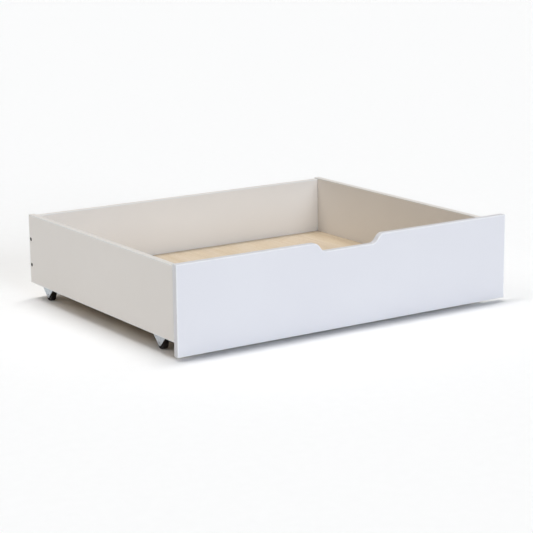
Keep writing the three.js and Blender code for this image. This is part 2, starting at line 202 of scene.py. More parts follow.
def lacquer(name, light, dark, painted_highlight):
    """Satin film on board: orange peel, faint clouds, a glossier arris and a whiter painted highlight along
    it.
    """
    made, tree, shader = blank_material(name)
    where = place_in_piece(tree)
    clouds = noise(tree, where, 5.0, 4.0)
    colour = ramp(tree, clouds, (0.3, dark), (0.7, light))
    patches = remap(tree, noise(tree, where, 60.0, 3.0), 0.35, 0.65, 0.65, 1.0)
    # Painted highlight: the arrises turn whiter where the edge layer is set, in patches.
    highlight_share = maths(tree, "MULTIPLY", edge_share(tree), patches)
    feed(tree, shader.inputs["Base Color"], blend(tree, highlight_share, colour, painted_highlight))
    mottle = remap(tree, noise(tree, where, 25.0, 3.0), 0.3, 0.7, 0.36, 0.46)
    gloss = maths(tree, "MULTIPLY", highlight_share, 0.12)
    feed(tree, shader.inputs["Roughness"], maths(tree, "SUBTRACT", mottle, gloss))
    peel = noise(tree, where, 420.0, 2.0)
    fine = noise(tree, where, 1900.0, 1.0)
    height = maths(tree, "ADD", peel, maths(tree, "MULTIPLY", fine, 0.35))
    bump(tree, shader, height, 0.04 * MM, 0.5)
    return made


def along(axis, across, length):
    """Scales that stretch a texture along one axis."""
    scale = [across, across, across]
    scale["XYZ".index(axis)] = length
    return tuple(scale)


def birch_ply(name):
    """A sanded birch face: broad figure, fine streaks and short pores, all running front to back."""
    made, tree, shader = blank_material(name)
    figure = noise(tree, place_in_piece(tree, along("Y", 1, 0.1)), 14.0, 4.0, 1.4)
    streaks = noise(tree, place_in_piece(tree, along("Y", 1, 0.02)), 260.0, 3.0)
    pores = noise(tree, place_in_piece(tree, along("Y", 1, 0.06)), 1300.0, 1.0)
    colour = ramp(
        tree, figure,
        (0.25, (0.63, 0.50, 0.335)), (0.45, (0.69, 0.575, 0.425)),
        (0.6, (0.72, 0.61, 0.475)), (0.75, (0.665, 0.54, 0.385)),
    )
    streak_tint = ramp(tree, streaks, (0.35, (0.86, 0.82, 0.76)), (0.6, (1.0, 1.0, 1.0)))
    colour = blend(tree, 0.7, colour, streak_tint, "MULTIPLY")
    pore_tint = ramp(tree, pores, (0.3, (0.72, 0.62, 0.5)), (0.4, (1.0, 1.0, 1.0)))
    colour = blend(tree, 0.6, colour, pore_tint, "MULTIPLY")
    shaded = maths(tree, "MULTIPLY", edge_share(tree), 0.35)
    feed(tree, shader.inputs["Base Color"], blend(tree, shaded, colour, (0.42, 0.27, 0.15)))
    feed(tree, shader.inputs["Roughness"], remap(tree, streaks, 0.3, 0.7, 0.38, 0.54))
    bump(tree, shader, maths(tree, "ADD", streaks, pores), 0.05 * MM, 0.6)
    return made


def ply_edge(name, underside, thickness):
    """The edge of the sheet, where its five layers show as light and dark bands."""
    made, tree, shader = blank_material(name)
    where = place_in_piece(tree)
    height = node(tree, "ShaderNodeSeparateXYZ", {"Vector": where}).outputs["Z"]
    layer = maths(tree, "DIVIDE", maths(tree, "SUBTRACT", height, underside), thickness / 5)
    odd = maths(tree, "PINGPONG", maths(tree, "FLOOR", layer, 0.0), 1.0)
    fibres = noise(tree, where, 700.0, 3.0)
    light = ramp(tree, fibres, (0.3, (0.62, 0.45, 0.28)), (0.7, (0.76, 0.60, 0.41)))
    dark = ramp(tree, fibres, (0.3, (0.34, 0.21, 0.12)), (0.7, (0.48, 0.32, 0.19)))
    feed(tree, shader.inputs["Base Color"], blend(tree, odd, light, dark))
    feed(tree, shader.inputs["Roughness"], remap(tree, fibres, 0.3, 0.7, 0.65, 0.8))
    bump(tree, shader, fibres, 0.1 * MM, 0.7)
    return made


def softwood(name, axis):
    """Planed pine with growth rings, late-wood lines and a few knots, its grain along one axis."""
    made, tree, shader = blank_material(name)
    stretched = place_in_piece(tree, along(axis, 1, 0.06))
    wander = noise(tree, stretched, 30.0, 2.0)
    rings = maths(tree, "PINGPONG", maths(tree, "MULTIPLY", wander, 9.0), 1.0)
    fibres = noise(tree, place_in_piece(tree, along(axis, 1, 0.03)), 900.0, 2.0)
    ring_stops = (0.0, (0.80, 0.62, 0.38)), (0.6, (0.74, 0.54, 0.31)), (0.95, (0.55, 0.34, 0.16))
    colour = ramp(tree, rings, *ring_stops)
    knot_shape = node(tree, "ShaderNodeTexVoronoi", {"Vector": stretched, "Scale": 7.0}).outputs["Distance"]
    knots = remap(tree, knot_shape, 0.03, 0.09, 1.0, 0.0)
    colour = blend(tree, knots, colour, (0.33, 0.18, 0.08))
    tint = ramp(tree, fibres, (0.3, (0.84, 0.8, 0.74)), (0.65, (1.0, 1.0, 1.0)))
    colour = blend(tree, 0.7, colour, tint, "MULTIPLY")
    feed(tree, shader.inputs["Base Color"], colour)
    feed(tree, shader.inputs["Roughness"], remap(tree, fibres, 0.3, 0.7, 0.58, 0.76))
    bump(tree, shader, maths(tree, "ADD", fibres, maths(tree, "MULTIPLY", rings, 0.4)), 0.12 * MM, 0.6)
    return made


def hardwood(name):
    """Beech dowel: pinkish brown with short darker flecks."""
    made, tree, shader = blank_material(name)
    where = place_in_piece(tree)
    flecks = noise(tree, where, 1400.0, 2.0)
    fleck_stops = (0.3, (0.46, 0.28, 0.15)), (0.45, (0.66, 0.46, 0.28)), (0.7, (0.74, 0.55, 0.36))
    feed(tree, shader.inputs["Base Color"], ramp(tree, flecks, *fleck_stops))
    feed(tree, shader.inputs["Roughness"], remap(tree, flecks, 0.3, 0.7, 0.6, 0.75))
    bump(tree, shader, flecks, 0.08 * MM, 0.6)
    return made


def metal(name, light, dark, smooth, rough, scratch_axis="Z"):
    """Plated or bare metal: cloudy tone, fine grain and scratches."""
    made, tree, shader = blank_material(name)
    where = place_in_piece(tree)
    clouds = noise(tree, where, 160.0, 4.0)
    scratches = noise(tree, place_in_piece(tree, along(scratch_axis, 1, 0.04)), 2600.0, 2.0)
    grains = node(tree, "ShaderNodeTexVoronoi", {"Vector": where, "Scale": 900.0}).outputs["Color"]
    tone = ramp(tree, clouds, (0.3, dark), (0.7, light))
    feed(tree, shader.inputs["Base Color"], blend(tree, 0.08, tone, grains, "OVERLAY"))
    shader.inputs["Metallic"].default_value = 1.0
    feed(tree, shader.inputs["Roughness"], remap(tree, scratches, 0.3, 0.7, smooth, rough))
    bump(tree, shader, maths(tree, "ADD", scratches, clouds), 0.02 * MM, 0.5)
    return made


def moulded_plastic(name):
    """Black moulded plastic with a fine spark-eroded grain and dusty, scuffed patches."""
    made, tree, shader = blank_material(name)
    where = place_in_piece(tree)
    grain = noise(tree, where, 2200.0, 2.0)
    scuffs = remap(tree, noise(tree, where, 240.0, 5.0), 0.55, 0.75, 0.0, 0.7)
    feed(tree, shader.inputs["Base Color"], blend(tree, scuffs, (0.02, 0.015, 0.012), (0.06, 0.047, 0.038)))
    feed(tree, shader.inputs["Roughness"], remap(tree, grain, 0.3, 0.7, 0.38, 0.58))
    bump(tree, shader, maths(tree, "ADD", grain, scuffs), 0.03 * MM, 0.6)
    return made


def studio_paper(name):
    made, tree, shader = blank_material(name)
    tooth = noise(tree, place_in_piece(tree), 40.0, 3.0)
    tone = ramp(tree, tooth, (0.3, (0.925, 0.925, 0.925)), (0.7, (0.935, 0.935, 0.935)))
    feed(tree, shader.inputs["Base Color"], tone)
    shader.inputs["Roughness"].default_value = 0.9
    shader.inputs["Specular IOR Level"].default_value = 0.0
    return made


# ---- mesh making ----
ARRIS_STEPS = 4  # segments across a rounded edge
SHARP = math.radians(30)


def prism(outline, offset):
    """A closed slab between an outline and the same outline moved by offset."""
    bm = bmesh.new()
    near = [bm.verts.new(point) for point in outline]
    far = [bm.verts.new(Vector(point) + offset) for point in outline]
    bm.faces.new(near)
    bm.faces.new(far)
    for i, corner in enumerate(near):
        after = (i + 1) % len(near)
        bm.faces.new((corner, near[after], far[after], far[i]))
    bmesh.ops.recalc_face_normals(bm, faces=bm.faces)
    return bm


def block(low, high):
    corners = ((low.x, low.y), (high.x, low.y), (high.x, high.y), (low.x, high.y))
    outline = [(x, y, low.z) for x, y in corners]
    return prism(outline, Vector((0, 0, high.z - low.z)))


def patches_of(faces):
    """The groups of faces that touch each other along an edge that isn't sharp.

    The faces stay in the mesh's own order, so that every run makes the same mesh.
    """
    left, groups = dict.fromkeys(faces), []
    while left:
        first = next(iter(left))
        left.pop(first)
        group, front = [], [first]
        while front:
            face = front.pop()
            group.append(face)
            level = [edge for edge in face.edges if edge.calc_face_angle(0.0) <= SHARP]
            for beside in [other for edge in level for other in edge.link_faces]:
                if beside in left:
                    left.pop(beside)
                    front.append(beside)
        groups.append(group)
    return groups


def lies_in(element, planes):
    """Whether an edge or a face lies in one of some (axis, value) planes."""
    points = [vertex.co for vertex in element.verts]
    return any(all(abs(point[axis] - value) < 1e-6 for point in points) for axis, value in planes)


def fix_order(elements, key):
    """Sorts a mesh's points, edges or faces, whose order after an inset differs from run to run."""
    ranks = {element: rank for rank, element in enumerate(sorted(elements, key=key))}
    elements.sort(key=ranks.get)
    elements.index_update()


def round_edges(bm, radius, margin, butting=()):
    """Rounds the sharp edges, and marks in a layer how near each point is to one, for the painted highlight
    on the white boards' arrises and the darker arrises of the ply.

    butting holds (axis, value) planes where a sawn end meets another board; their edges stay crisp.
    """
    layer = bm.verts.layers.float.new("edge")
    sharp = [edge for edge in bm.edges if edge.calc_face_angle(0.0) > SHARP]
    sharp = [edge for edge in sharp if not lies_in(edge, butting)]
    made = bmesh.ops.bevel(
        bm, geom=sharp, offset=radius, offset_type="OFFSET", profile_type="SUPERELLIPSE",
        segments=ARRIS_STEPS, profile=0.5, affect="EDGES", clamp_overlap=True,
    )
    bm.normal_update()
    rounded = set(made["faces"])
    groups = patches_of(face for face in bm.faces if face not in rounded and not lies_in(face, butting))
    for group in groups:
        bmesh.ops.inset_region(bm, faces=group, thickness=margin, use_even_offset=True, use_boundary=True)
    inner = {vertex for group in groups for face in group for vertex in face.verts}
    for vertex in bm.verts:
        vertex[layer] = 0.0 if vertex in inner else 1.0
    fix_order(bm.verts, lambda vertex: tuple(vertex.co))
    for elements in (bm.edges, bm.faces):
        fix_order(elements, lambda element: sorted(vertex.index for vertex in element.verts))
    return bm


def mesh_from(bm, name):
    mesh = bpy.data.meshes.new(name)
    bm.to_mesh(mesh)
    bm.free()
    return mesh


def object_from(mesh, name):
    made = bpy.data.objects.new(name, mesh)
    scene.collection.objects.link(made)
    return made


def settled(obj):
    """Applies the object's modifiers to its mesh."""
    bpy.context.view_layer.update()
    evaluated = obj.evaluated_get(bpy.context.evaluated_depsgraph_get())
    mesh = bpy.data.meshes.new_from_object(evaluated)
    obj.modifiers.clear()
    obj.data = mesh
    return obj


def combine(obj, tools, operation="DIFFERENCE"):
    """Cuts tool meshes out of an object, or joins them to it."""
    helpers = []
    for tool in tools:
        helper = object_from(mesh_from(tool, "tool"), "tool")
        helpers.append(helper)
        modifier = obj.modifiers.new("shape", "BOOLEAN")
        modifier.operation = operation
        modifier.solver = "EXACT"
        modifier.object = helper
    settled(obj)
    for helper in helpers:
        bpy.data.meshes.remove(helper.data)
    return obj


def ring(count):
    return [2 * math.pi * i / count for i in range(count)]


def turned(profile, segments, stand_out=None, closed=False):
    """Turns (radius, distance) pairs about the Z axis. stand_out(angle, distance) adds to the radius."""
    bm = bmesh.new()
    rows = []
    for radius, distance in profile:
        if radius < 1e-7:
            rows.append([bm.verts.new((0, 0, distance))] * segments)
            continue
        row = []
        for angle in ring(segments):
            reach = radius + (stand_out(angle, distance) if stand_out else 0)
            row.append(bm.verts.new((reach * math.cos(angle), reach * math.sin(angle), distance)))
        rows.append(row)
    pairs = list(zip(rows, rows[1:])) + ([(rows[-1], rows[0])] if closed else [])
    for low, high in pairs:
        for i in range(segments):
            after = (i + 1) % segments
            corners = list(dict.fromkeys((low[i], low[after], high[after], high[i])))
            if len(corners) > 2:
                bm.faces.new(corners)
    bmesh.ops.recalc_face_normals(bm, faces=bm.faces)
    return bm


def rod(radius, length, segments=32, start=0.0):
    return turned([(0, start), (radius, start), (radius, start + length), (0, start + length)], segments)


def arc(centre, radius, begin, end, steps):
    """Points on an arc, with angles in degrees from the first axis."""
    angles = [math.radians(begin + (end - begin) * i / steps) for i in range(steps + 1)]
    return [(centre[0] + radius * math.cos(a), centre[1] + radius * math.sin(a)) for a in angles]


def towards(start, direction):
    """The matrix that puts something made along +Z at a place, running in a direction."""
    return Matrix.Translation(start) @ Z.rotation_difference(Vector(direction)).to_matrix().to_4x4()


def moved(bm, matrix):
    bmesh.ops.transform(bm, matrix=matrix, verts=bm.verts)
    return bm


# ---- pieces and the frame ----
BODY_OF = {n: body for body, nodes in frame["record"]["behaviour"]["bodies"].items() for n in nodes}
SMOOTH_BELOW = math.radians(38)


def middle(node_name):
    low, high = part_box(node_name)
    return (low + high) / 2


def dress(obj, node_name, *finishes):
    """Gives a piece its finish, and lets it stand for one node of the frame."""
    mesh = obj.data
    mesh.materials.clear()
    for finish in finishes:
        mesh.materials.append(finish)
    mesh.shade_smooth()
    mesh.set_sharp_from_angle(angle=SMOOTH_BELOW)
    flatten = obj.modifiers.new("flat_faces", "WEIGHTED_NORMAL")
    flatten.keep_sharp = True
    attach(obj, BODY_OF[node_name])
    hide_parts(node_name)
    return obj


def copy_for(node_name, mesh, matrix, finish):
    """A copy of a shared mesh, put in one node's place."""
    own = mesh.copy()
    own.name = node_name + "_fine"
    own.transform(matrix)
    return dress(object_from(own, own.name), node_name, finish)


# ---- fasteners ----
WOOD_SCREW_HEAD = 3.5 * MM
WOOD_SCREW_RIM = 0.4 * MM
WOOD_SCREW_CONE = 1.9 * MM
WOOD_SCREW_SHANK = 1.75 * MM
WOOD_SCREW_TIP = 4 * MM
WOOD_SCREW_PITCH = 1.6 * MM
THREAD_STEPS = 8  # rows of points for each turn of a thread


def thread(begin, end, pitch, height):
    """How far a helical ridge stands out at an angle and a distance along a screw."""
    def stand_out(angle, distance):
        if not begin < distance < end:
            return 0.0
        phase = (distance / pitch - angle / (2 * math.pi)) % 1
        ridge = max(0.0, 1 - abs(phase - 0.5) / 0.25)
        fade = min(1.0, (distance - begin) / pitch, (end - distance) / pitch)
        return height * ridge * fade
    return stand_out


def rows_along(radius_at, begin, end, pitch):
    """Closely spaced profile points for a threaded stretch."""
    count = max(2, round((end - begin) / pitch * THREAD_STEPS))
    return [(radius_at(i / count), begin + (end - begin) * i / count) for i in range(count + 1)]


def cross_recess(depth, reach, width):
    """Two tapered blades that cut a cross into a head at z = 0."""
    tools = []
    for turn in (0, math.pi / 2):
        half, thin = reach / 2, width / 2
        outline = [(-half, -0.2 * MM), (half, -0.2 * MM), (half * 0.45, depth), (-half * 0.45, depth)]
        blade = prism([(x, -thin, z) for x, z in outline], Vector((0, width, 0)))
        tools.append(moved(blade, Matrix.Rotation(turn, 4, "Z")))
    return tools


def screw_shank(begin, length):
    """Profile points of a threaded shank and its tapered tip."""
    core = WOOD_SCREW_SHANK * 0.72
    taper = length - WOOD_SCREW_TIP
    end = length - 0.05 * MM
    straight = rows_along(lambda t: core, begin, taper, WOOD_SCREW_PITCH)
    return straight + rows_along(lambda t: core * (1 - t * 0.96), taper, end, WOOD_SCREW_PITCH)[1:]


def wood_screw_mesh(length, name):
    """A countersunk screw with a cross recess, its head flush at z = 0."""
    plain = WOOD_SCREW_CONE + 2 * MM
    profile = [(0, 0), (WOOD_SCREW_HEAD - 0.15 * MM, 0), (WOOD_SCREW_HEAD, 0.12 * MM)]
    profile += [(WOOD_SCREW_HEAD, WOOD_SCREW_RIM), (WOOD_SCREW_SHANK * 0.8, WOOD_SCREW_CONE)]
    profile += screw_shank(plain, length) + [(0, length)]
    ridge = thread(plain, length - 1 * MM, WOOD_SCREW_PITCH, WOOD_SCREW_SHANK * 0.28)
    made = object_from(mesh_from(turned(profile, 24, ridge), name), name)
    combine(made, cross_recess(1.6 * MM, 4.2 * MM, 0.8 * MM))
    return keep_mesh(made)


PAN_HEAD = 2 * MM
PAN_SCREW_LENGTH = 14 * MM


def pan_screw_mesh(name):
    """A pan-head screw. Its head bears at z = 0 and its shank runs up."""
    length, plain = PAN_SCREW_LENGTH, 0.8 * MM
    dome = arc((WOOD_SCREW_HEAD - 1.4 * MM, -PAN_HEAD + 1.4 * MM), 1.4 * MM, -90, 0, 6)
    profile = [(0, -PAN_HEAD)] + dome + [(WOOD_SCREW_HEAD, 0), (WOOD_SCREW_SHANK * 0.8, 0)]
    profile += screw_shank(plain, length) + [(0, length)]
    ridge = thread(plain, length - 1 * MM, WOOD_SCREW_PITCH, WOOD_SCREW_SHANK * 0.28)
    made = object_from(mesh_from(turned(profile, 24, ridge), name), name)
    down = Matrix.Translation((0, 0, -PAN_HEAD))
    combine(made, [moved(tool, down) for tool in cross_recess(1.5 * MM, 3.8 * MM, 0.8 * MM)])
    return keep_mesh(made)


def keep_mesh(obj):
    """Takes an object away and keeps its mesh."""
    mesh = obj.data
    bpy.data.objects.remove(obj)
    return mesh


CONFIRMAT_HEAD = 4.8 * MM
CONFIRMAT_HEAD_LENGTH = 3 * MM
CONFIRMAT_NECK = 3.4 * MM
CONFIRMAT_NECK_LENGTH = 12.5 * MM
CONFIRMAT_SHANK = 2.6 * MM
CONFIRMAT_LENGTH = 48 * MM
CONFIRMAT_SOCKET = 2.3 * MM


def confirmat_mesh(name):
    """A one-piece connecting screw: flat head with a hexagon socket, plain neck and deep coarse thread."""
    begin, end, pitch = CONFIRMAT_NECK_LENGTH + 1 * MM, CONFIRMAT_LENGTH - 2 * MM, 3 * MM
    core = CONFIRMAT_SHANK * 0.7
    profile = [(0, 0)] + arc((CONFIRMAT_HEAD - 0.4 * MM, 0.4 * MM), 0.4 * MM, -90, 0, 4)
    profile += [(CONFIRMAT_HEAD, CONFIRMAT_HEAD_LENGTH - 1 * MM), (CONFIRMAT_NECK, CONFIRMAT_HEAD_LENGTH)]
    profile += [(CONFIRMAT_NECK, CONFIRMAT_NECK_LENGTH)]
    profile += rows_along(lambda t: core, begin, end, pitch) + [(0, CONFIRMAT_LENGTH)]
    ridge = thread(begin, end, pitch, CONFIRMAT_SHANK * 0.3)
    made = object_from(mesh_from(turned(profile, 32, ridge), name), name)
    combine(made, [rod(CONFIRMAT_SOCKET, 3.2 * MM, 6, -0.2 * MM)])
    return keep_mesh(made)


CAM_BOLT_HEAD = 3.6 * MM
CAM_BOLT_NECK = 2.2 * MM
CAM_BOLT_THREAD = 2.8 * MM
CAM_BOLT_THREAD_LENGTH = 11 * MM


def cam_bolt_mesh(length, name):
    """A cam bolt: ball-like head, collar, plain neck, and a coarse thread that bites into the front."""
    begin, pitch = length - CAM_BOLT_THREAD_LENGTH, 1.8 * MM
    core = CAM_BOLT_THREAD * 0.76
    profile = [(0, 0)] + arc((CAM_BOLT_HEAD - 1 * MM, 1 * MM), 1 * MM, -90, 0, 5)
    profile += arc((CAM_BOLT_HEAD - 1 * MM, 1.5 * MM), 1 * MM, 0, 90, 5)
    profile += [(CAM_BOLT_NECK, 2.5 * MM), (CAM_BOLT_NECK, begin - 1.2 * MM)]
    collar = CAM_BOLT_HEAD - 0.2 * MM
    profile += [(collar, begin - 1.2 * MM), (collar, begin - 0.4 * MM)]
    profile += rows_along(lambda t: core, begin - 0.2 * MM, length - 1 * MM, pitch) + [(0, length)]
    ridge = thread(begin, length - 1 * MM, pitch, CAM_BOLT_THREAD * 0.24)
    return mesh_from(turned(profile, 24, ridge), name)


CAM_RADIUS = 7.5 * MM
CAM_LENGTH = 12.4 * MM


def cam_mesh(name):
    """A cam lock: die-cast barrel with a rounded rim, a cross slot, and its pocket for the bolt's head."""
    rim = 0.5 * MM
    profile = [(0, 0)] + arc((CAM_RADIUS - rim, rim), rim, -90, 0, 4) + [(CAM_RADIUS, 2.2 * MM)]
    profile += [(CAM_RADIUS - 0.35 * MM, 2.5 * MM), (CAM_RADIUS - 0.35 * MM, CAM_LENGTH - 0.6 * MM)]
    profile += [(CAM_RADIUS - 0.9 * MM, CAM_LENGTH), (0, CAM_LENGTH)]
    made = object_from(mesh_from(turned(profile, 48), name), name)
    slots = cross_recess(2.4 * MM, 9 * MM, 1.6 * MM)
    pocket = rod(CAM_BOLT_HEAD + GAP, CAM_BOLT_HEAD + CAM_RADIUS + 1 * MM)
    moved(pocket, towards((0, CAM_BOLT_HEAD, 7.7 * MM), -Y))
    combine(made, [*slots, pocket])
    return keep_mesh(made)


DOWEL_RADIUS = 4 * MM
DOWEL_LENGTH = 30 * MM


def dowel_mesh(name):
    """A fluted dowel with tapered ends."""
    chamfer = 1 * MM

    def flute(angle, distance):
        inside = chamfer < distance < DOWEL_LENGTH - chamfer
        return -0.22 * MM * max(0.0, math.cos(18 * angle)) if inside else 0.0

    steps = (chamfer, chamfer * 1.2, DOWEL_LENGTH - chamfer * 1.2, DOWEL_LENGTH - chamfer)
    profile = [(0, 0), (DOWEL_RADIUS - chamfer, 0)] + [(DOWEL_RADIUS, step) for step in steps]
    profile += [(DOWEL_RADIUS - chamfer, DOWEL_LENGTH), (0, DOWEL_LENGTH)]
    return mesh_from(turned(profile, 144, flute), name)


# ---- where each fastener starts, and which way it runs ----
SIDES = {"left": X, "right": -X}
HEIGHTS = ("lower", "upper")
ROWS = ("front", "rear")


def start_of(node_name, direction):
    """The middle of the end of a node's box that a direction points away from."""
    low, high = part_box(node_name)
    centre = (low + high) / 2
    half = (high - low) / 2
    return centre - Vector([d * h for d, h in zip(direction, half)])


def length_of(node_name, direction):
    low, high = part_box(node_name)
    return abs((high - low).dot(direction))


def fastener_places():
    """(node, start, direction) for every fastener, by kind."""
    places = {kind: [] for kind in ("confirmat", "cam", "bolt", "dowel", "side", "cross", "rail", "castor")}
    for side, inward in SIDES.items():
        for height in HEIGHTS:
            places["confirmat"].append((f"rear_screw_{side}_{height}", inward))
            places["cam"].append((f"cam_lock_{side}_{height}", -inward))
            places["bolt"].append((f"cam_bolt_{side}_{height}", -Y))
        places["dowel"] += [(f"dowel_front_{side}", Y), (f"dowel_rear_{side}", inward)]
        places["side"] += [(f"batten_screw_{side}_{i}", -inward) for i in (1, 2, 3)]
        places["castor"] += [(f"castor_screw_{row}_{side}_{end}", Z) for row in ROWS for end in "ab"]
    for end, outward in (("front", -Y), ("back", Y)):
        places["cross"] += [(f"batten_screw_{end}_{i}", outward) for i in (1, 2)]
        places["rail"].append((f"rail_screw_{end}", -Z))
    return {kind: [(n, start_of(n, d), d) for n, d in found] for kind, found in places.items()}


PLACES = fastener_places()


def wood_screw_bore(length):
    """The countersunk hole for a wood screw whose head is flush at z = 0."""
    head, shank = WOOD_SCREW_HEAD + GAP, WOOD_SCREW_SHANK + GAP
    profile = [(0, -1 * MM), (head, -1 * MM), (head, WOOD_SCREW_RIM + GAP), (shank, WOOD_SCREW_CONE + GAP)]
    return turned([*profile, (shank, length + GAP), (0, length + GAP)], 24)


def confirmat_bore():
    head, neck, shank = CONFIRMAT_HEAD + GAP, CONFIRMAT_NECK + GAP, CONFIRMAT_SHANK + GAP
    profile = [(0, -1 * MM), (head, -1 * MM), (head, CONFIRMAT_HEAD_LENGTH - 1 * MM + GAP)]
    profile += [(neck, CONFIRMAT_HEAD_LENGTH + GAP), (neck, CONFIRMAT_NECK_LENGTH + GAP)]
    profile += [(shank, CONFIRMAT_NECK_LENGTH + 1 * MM + GAP), (shank, CONFIRMAT_LENGTH + GAP)]
    return turned([*profile, (0, CONFIRMAT_LENGTH + GAP)], 32)


def bores_for(*kinds, only=""):
    """Cutting tools for the fasteners of some kinds whose node names hold a word."""
    tools = []
    for kind in kinds:
        for name, start, direction in PLACES[kind]:
            if only not in name:
                continue
            if kind in ("side", "cross", "rail"):
                tool = wood_screw_bore(length_of(name, direction))
            elif kind == "confirmat":
                tool = confirmat_bore()
            elif kind == "cam":
                tool = rod(CAM_RADIUS + GAP, CAM_LENGTH + 1 * MM + GAP, 48, -1 * MM)
            elif kind == "bolt":
                tool = rod(CAM_BOLT_HEAD + GAP, length_of(name, Y) + GAP, 32, 0)
            elif kind == "dowel":
                tool = rod(DOWEL_RADIUS + GAP, DOWEL_LENGTH + 2 * GAP, 32, -GAP)
            else:
                tool = rod(WOOD_SCREW_SHANK + GAP, length_of(name, Z), 24, 0)
            tools.append(moved(tool, towards(start, direction)))
    return tools


# ---- boards ----
FRONT_ARRIS = 1.2 * MM
BOARD_ARRIS = 1.0 * MM
EDGE_MASK_REACH = 2.5 * MM  # how far the edge layer reaches beside a rounded edge: the painted highlight on the white boards, the darker arrises of the ply
CUTOUT_CENTRE = -3 * MM
CUTOUT_TOP_HALF = 102 * MM
CUTOUT_FLOOR_HALF = 67 * MM
CUTOUT_DEPTH = 22 * MM
CURVE_STEPS = 14
# How far along a shoulder of the cut-out its round-over, its slope and its hollow lie.
SHOULDER = (0.29, 0.515, 0.74)


def quadratic(start, control, end):
    points = []
    for i in range(1, CURVE_STEPS + 1):
        t = i / CURVE_STEPS
        points.append(start * (1 - t) ** 2 + control * 2 * t * (1 - t) + end * t ** 2)
    return points


def shoulder(sign, top):
    """The S-curve from the top edge down to the cut-out's floor, on one side."""
    run = CUTOUT_TOP_HALF - CUTOUT_FLOOR_HALF
    floor = top - CUTOUT_DEPTH

    def at(share, z):
        return Vector((CUTOUT_CENTRE + sign * (CUTOUT_TOP_HALF - share * run), z))

    begin, slope, end = at(0, top), at(SHOULDER[1], (top + floor) / 2), at(1, floor)
    over = quadratic(begin, at(SHOULDER[0], top), slope)
    return [begin, *over, *quadratic(slope, at(SHOULDER[2], floor), end)]


def make_front(finish):
    low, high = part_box("front_panel")
    corners = [Vector((low.x, low.z)), Vector((high.x, low.z)), Vector((high.x, high.z))]
    outline = [*corners, *shoulder(1, high.z), *reversed(shoulder(-1, high.z)), Vector((low.x, high.z))]
    bm = prism([(p.x, low.y, p.y) for p in outline], Vector((0, high.y - low.y, 0)))
    name = "front_panel_fine"
    board = object_from(mesh_from(round_edges(bm, FRONT_ARRIS, EDGE_MASK_REACH), name), name)
    tools = bores_for("bolt") + bores_for("dowel", only="dowel_front") + bores_for("cross", only="front")
    combine(board, tools)
    dress(board, "front_panel", finish)


def make_board(node_name, arris, tools, *finishes, butting=()):
    """A rectangular board or batten with rounded edges and its fasteners' holes."""
    name = node_name + "_fine"
    bm = round_edges(block(*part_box(node_name)), arris, EDGE_MASK_REACH, butting)
    board = object_from(mesh_from(bm, name), name)
    if tools:
        combine(board, tools)
    return dress(board, node_name, *finishes)


def make_base(face_finish, edge_finish):
    base = make_board("base_panel", 0.5 * MM, [], face_finish, edge_finish)
    for face in base.data.polygons:
        face.material_index = 0 if abs(face.normal.z) > 0.5 else 1


def make_carcass(finish):
    for side in SIDES:
        tools = bores_for("confirmat", "cam", "bolt", "dowel", "side", only=side)
        front_end = (1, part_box(f"side_panel_{side}")[0].y)
        make_board(f"side_panel_{side}", BOARD_ARRIS, tools, finish, butting=[front_end])
    tools = bores_for("confirmat") + bores_for("dowel", only="dowel_rear") + bores_for("cross", only="back")
    ends = [(0, corner.x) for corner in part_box("back_panel")]
    make_board("back_panel", BOARD_ARRIS, tools, finish, butting=ends)


# ---- battens ----
BATTEN_ARRIS = 1.5 * MM


def make_cross_batten(end, finish):
    node_name = f"batten_{end}"
    low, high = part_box(node_name)
    rail_low, rail_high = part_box("centre_rail")
    lap = (low.z + high.z) / 2
    notch = block(
        Vector((rail_low.x - GAP, low.y - 1 * MM, lap - GAP)),
        Vector((rail_high.x + GAP, high.y + 1 * MM, high.z + 1 * MM)),
    )
    tools = [notch, *bores_for("cross", only=end), *bores_for("rail", only=end)]
    make_board(node_name, BATTEN_ARRIS, tools, finish)


def make_rail(finish):
    """The middle rail, whose ends are halved over the front and back battens."""
    low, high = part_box("centre_rail")
    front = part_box("batten_front")[1].y + GAP
    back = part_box("batten_back")[0].y - GAP
    lap = (low.z + high.z) / 2
    outline = [
        (low.y, high.z), (low.y, lap), (front, lap), (front, low.z),
        (back, low.z), (back, lap), (high.y, lap), (high.y, high.z),
    ]
    bm = prism([(low.x, y, z) for y, z in outline], Vector((high.x - low.x, 0, 0)))
    name = "centre_rail_fine"
    rail = object_from(mesh_from(round_edges(bm, 1 * MM, 2 * MM), name), name)
    combine(rail, bores_for("rail"))
    dress(rail, "centre_rail", finish)


# ---- castors ----
SHEET = 1.5 * MM
BEND = 2.4 * MM
SKIRT = 7.5 * MM
TIP = 6 * MM
AXLE_RADIUS = 2 * MM
AXLE_HEAD = 3.8 * MM
AXLE_HEAD_LENGTH = 1.1 * MM
WHEEL_BORE = AXLE_RADIUS + GAP
HUB = 5 * MM
RIM = 10.6 * MM
DISH = 1.6 * MM
SPOKES = 6


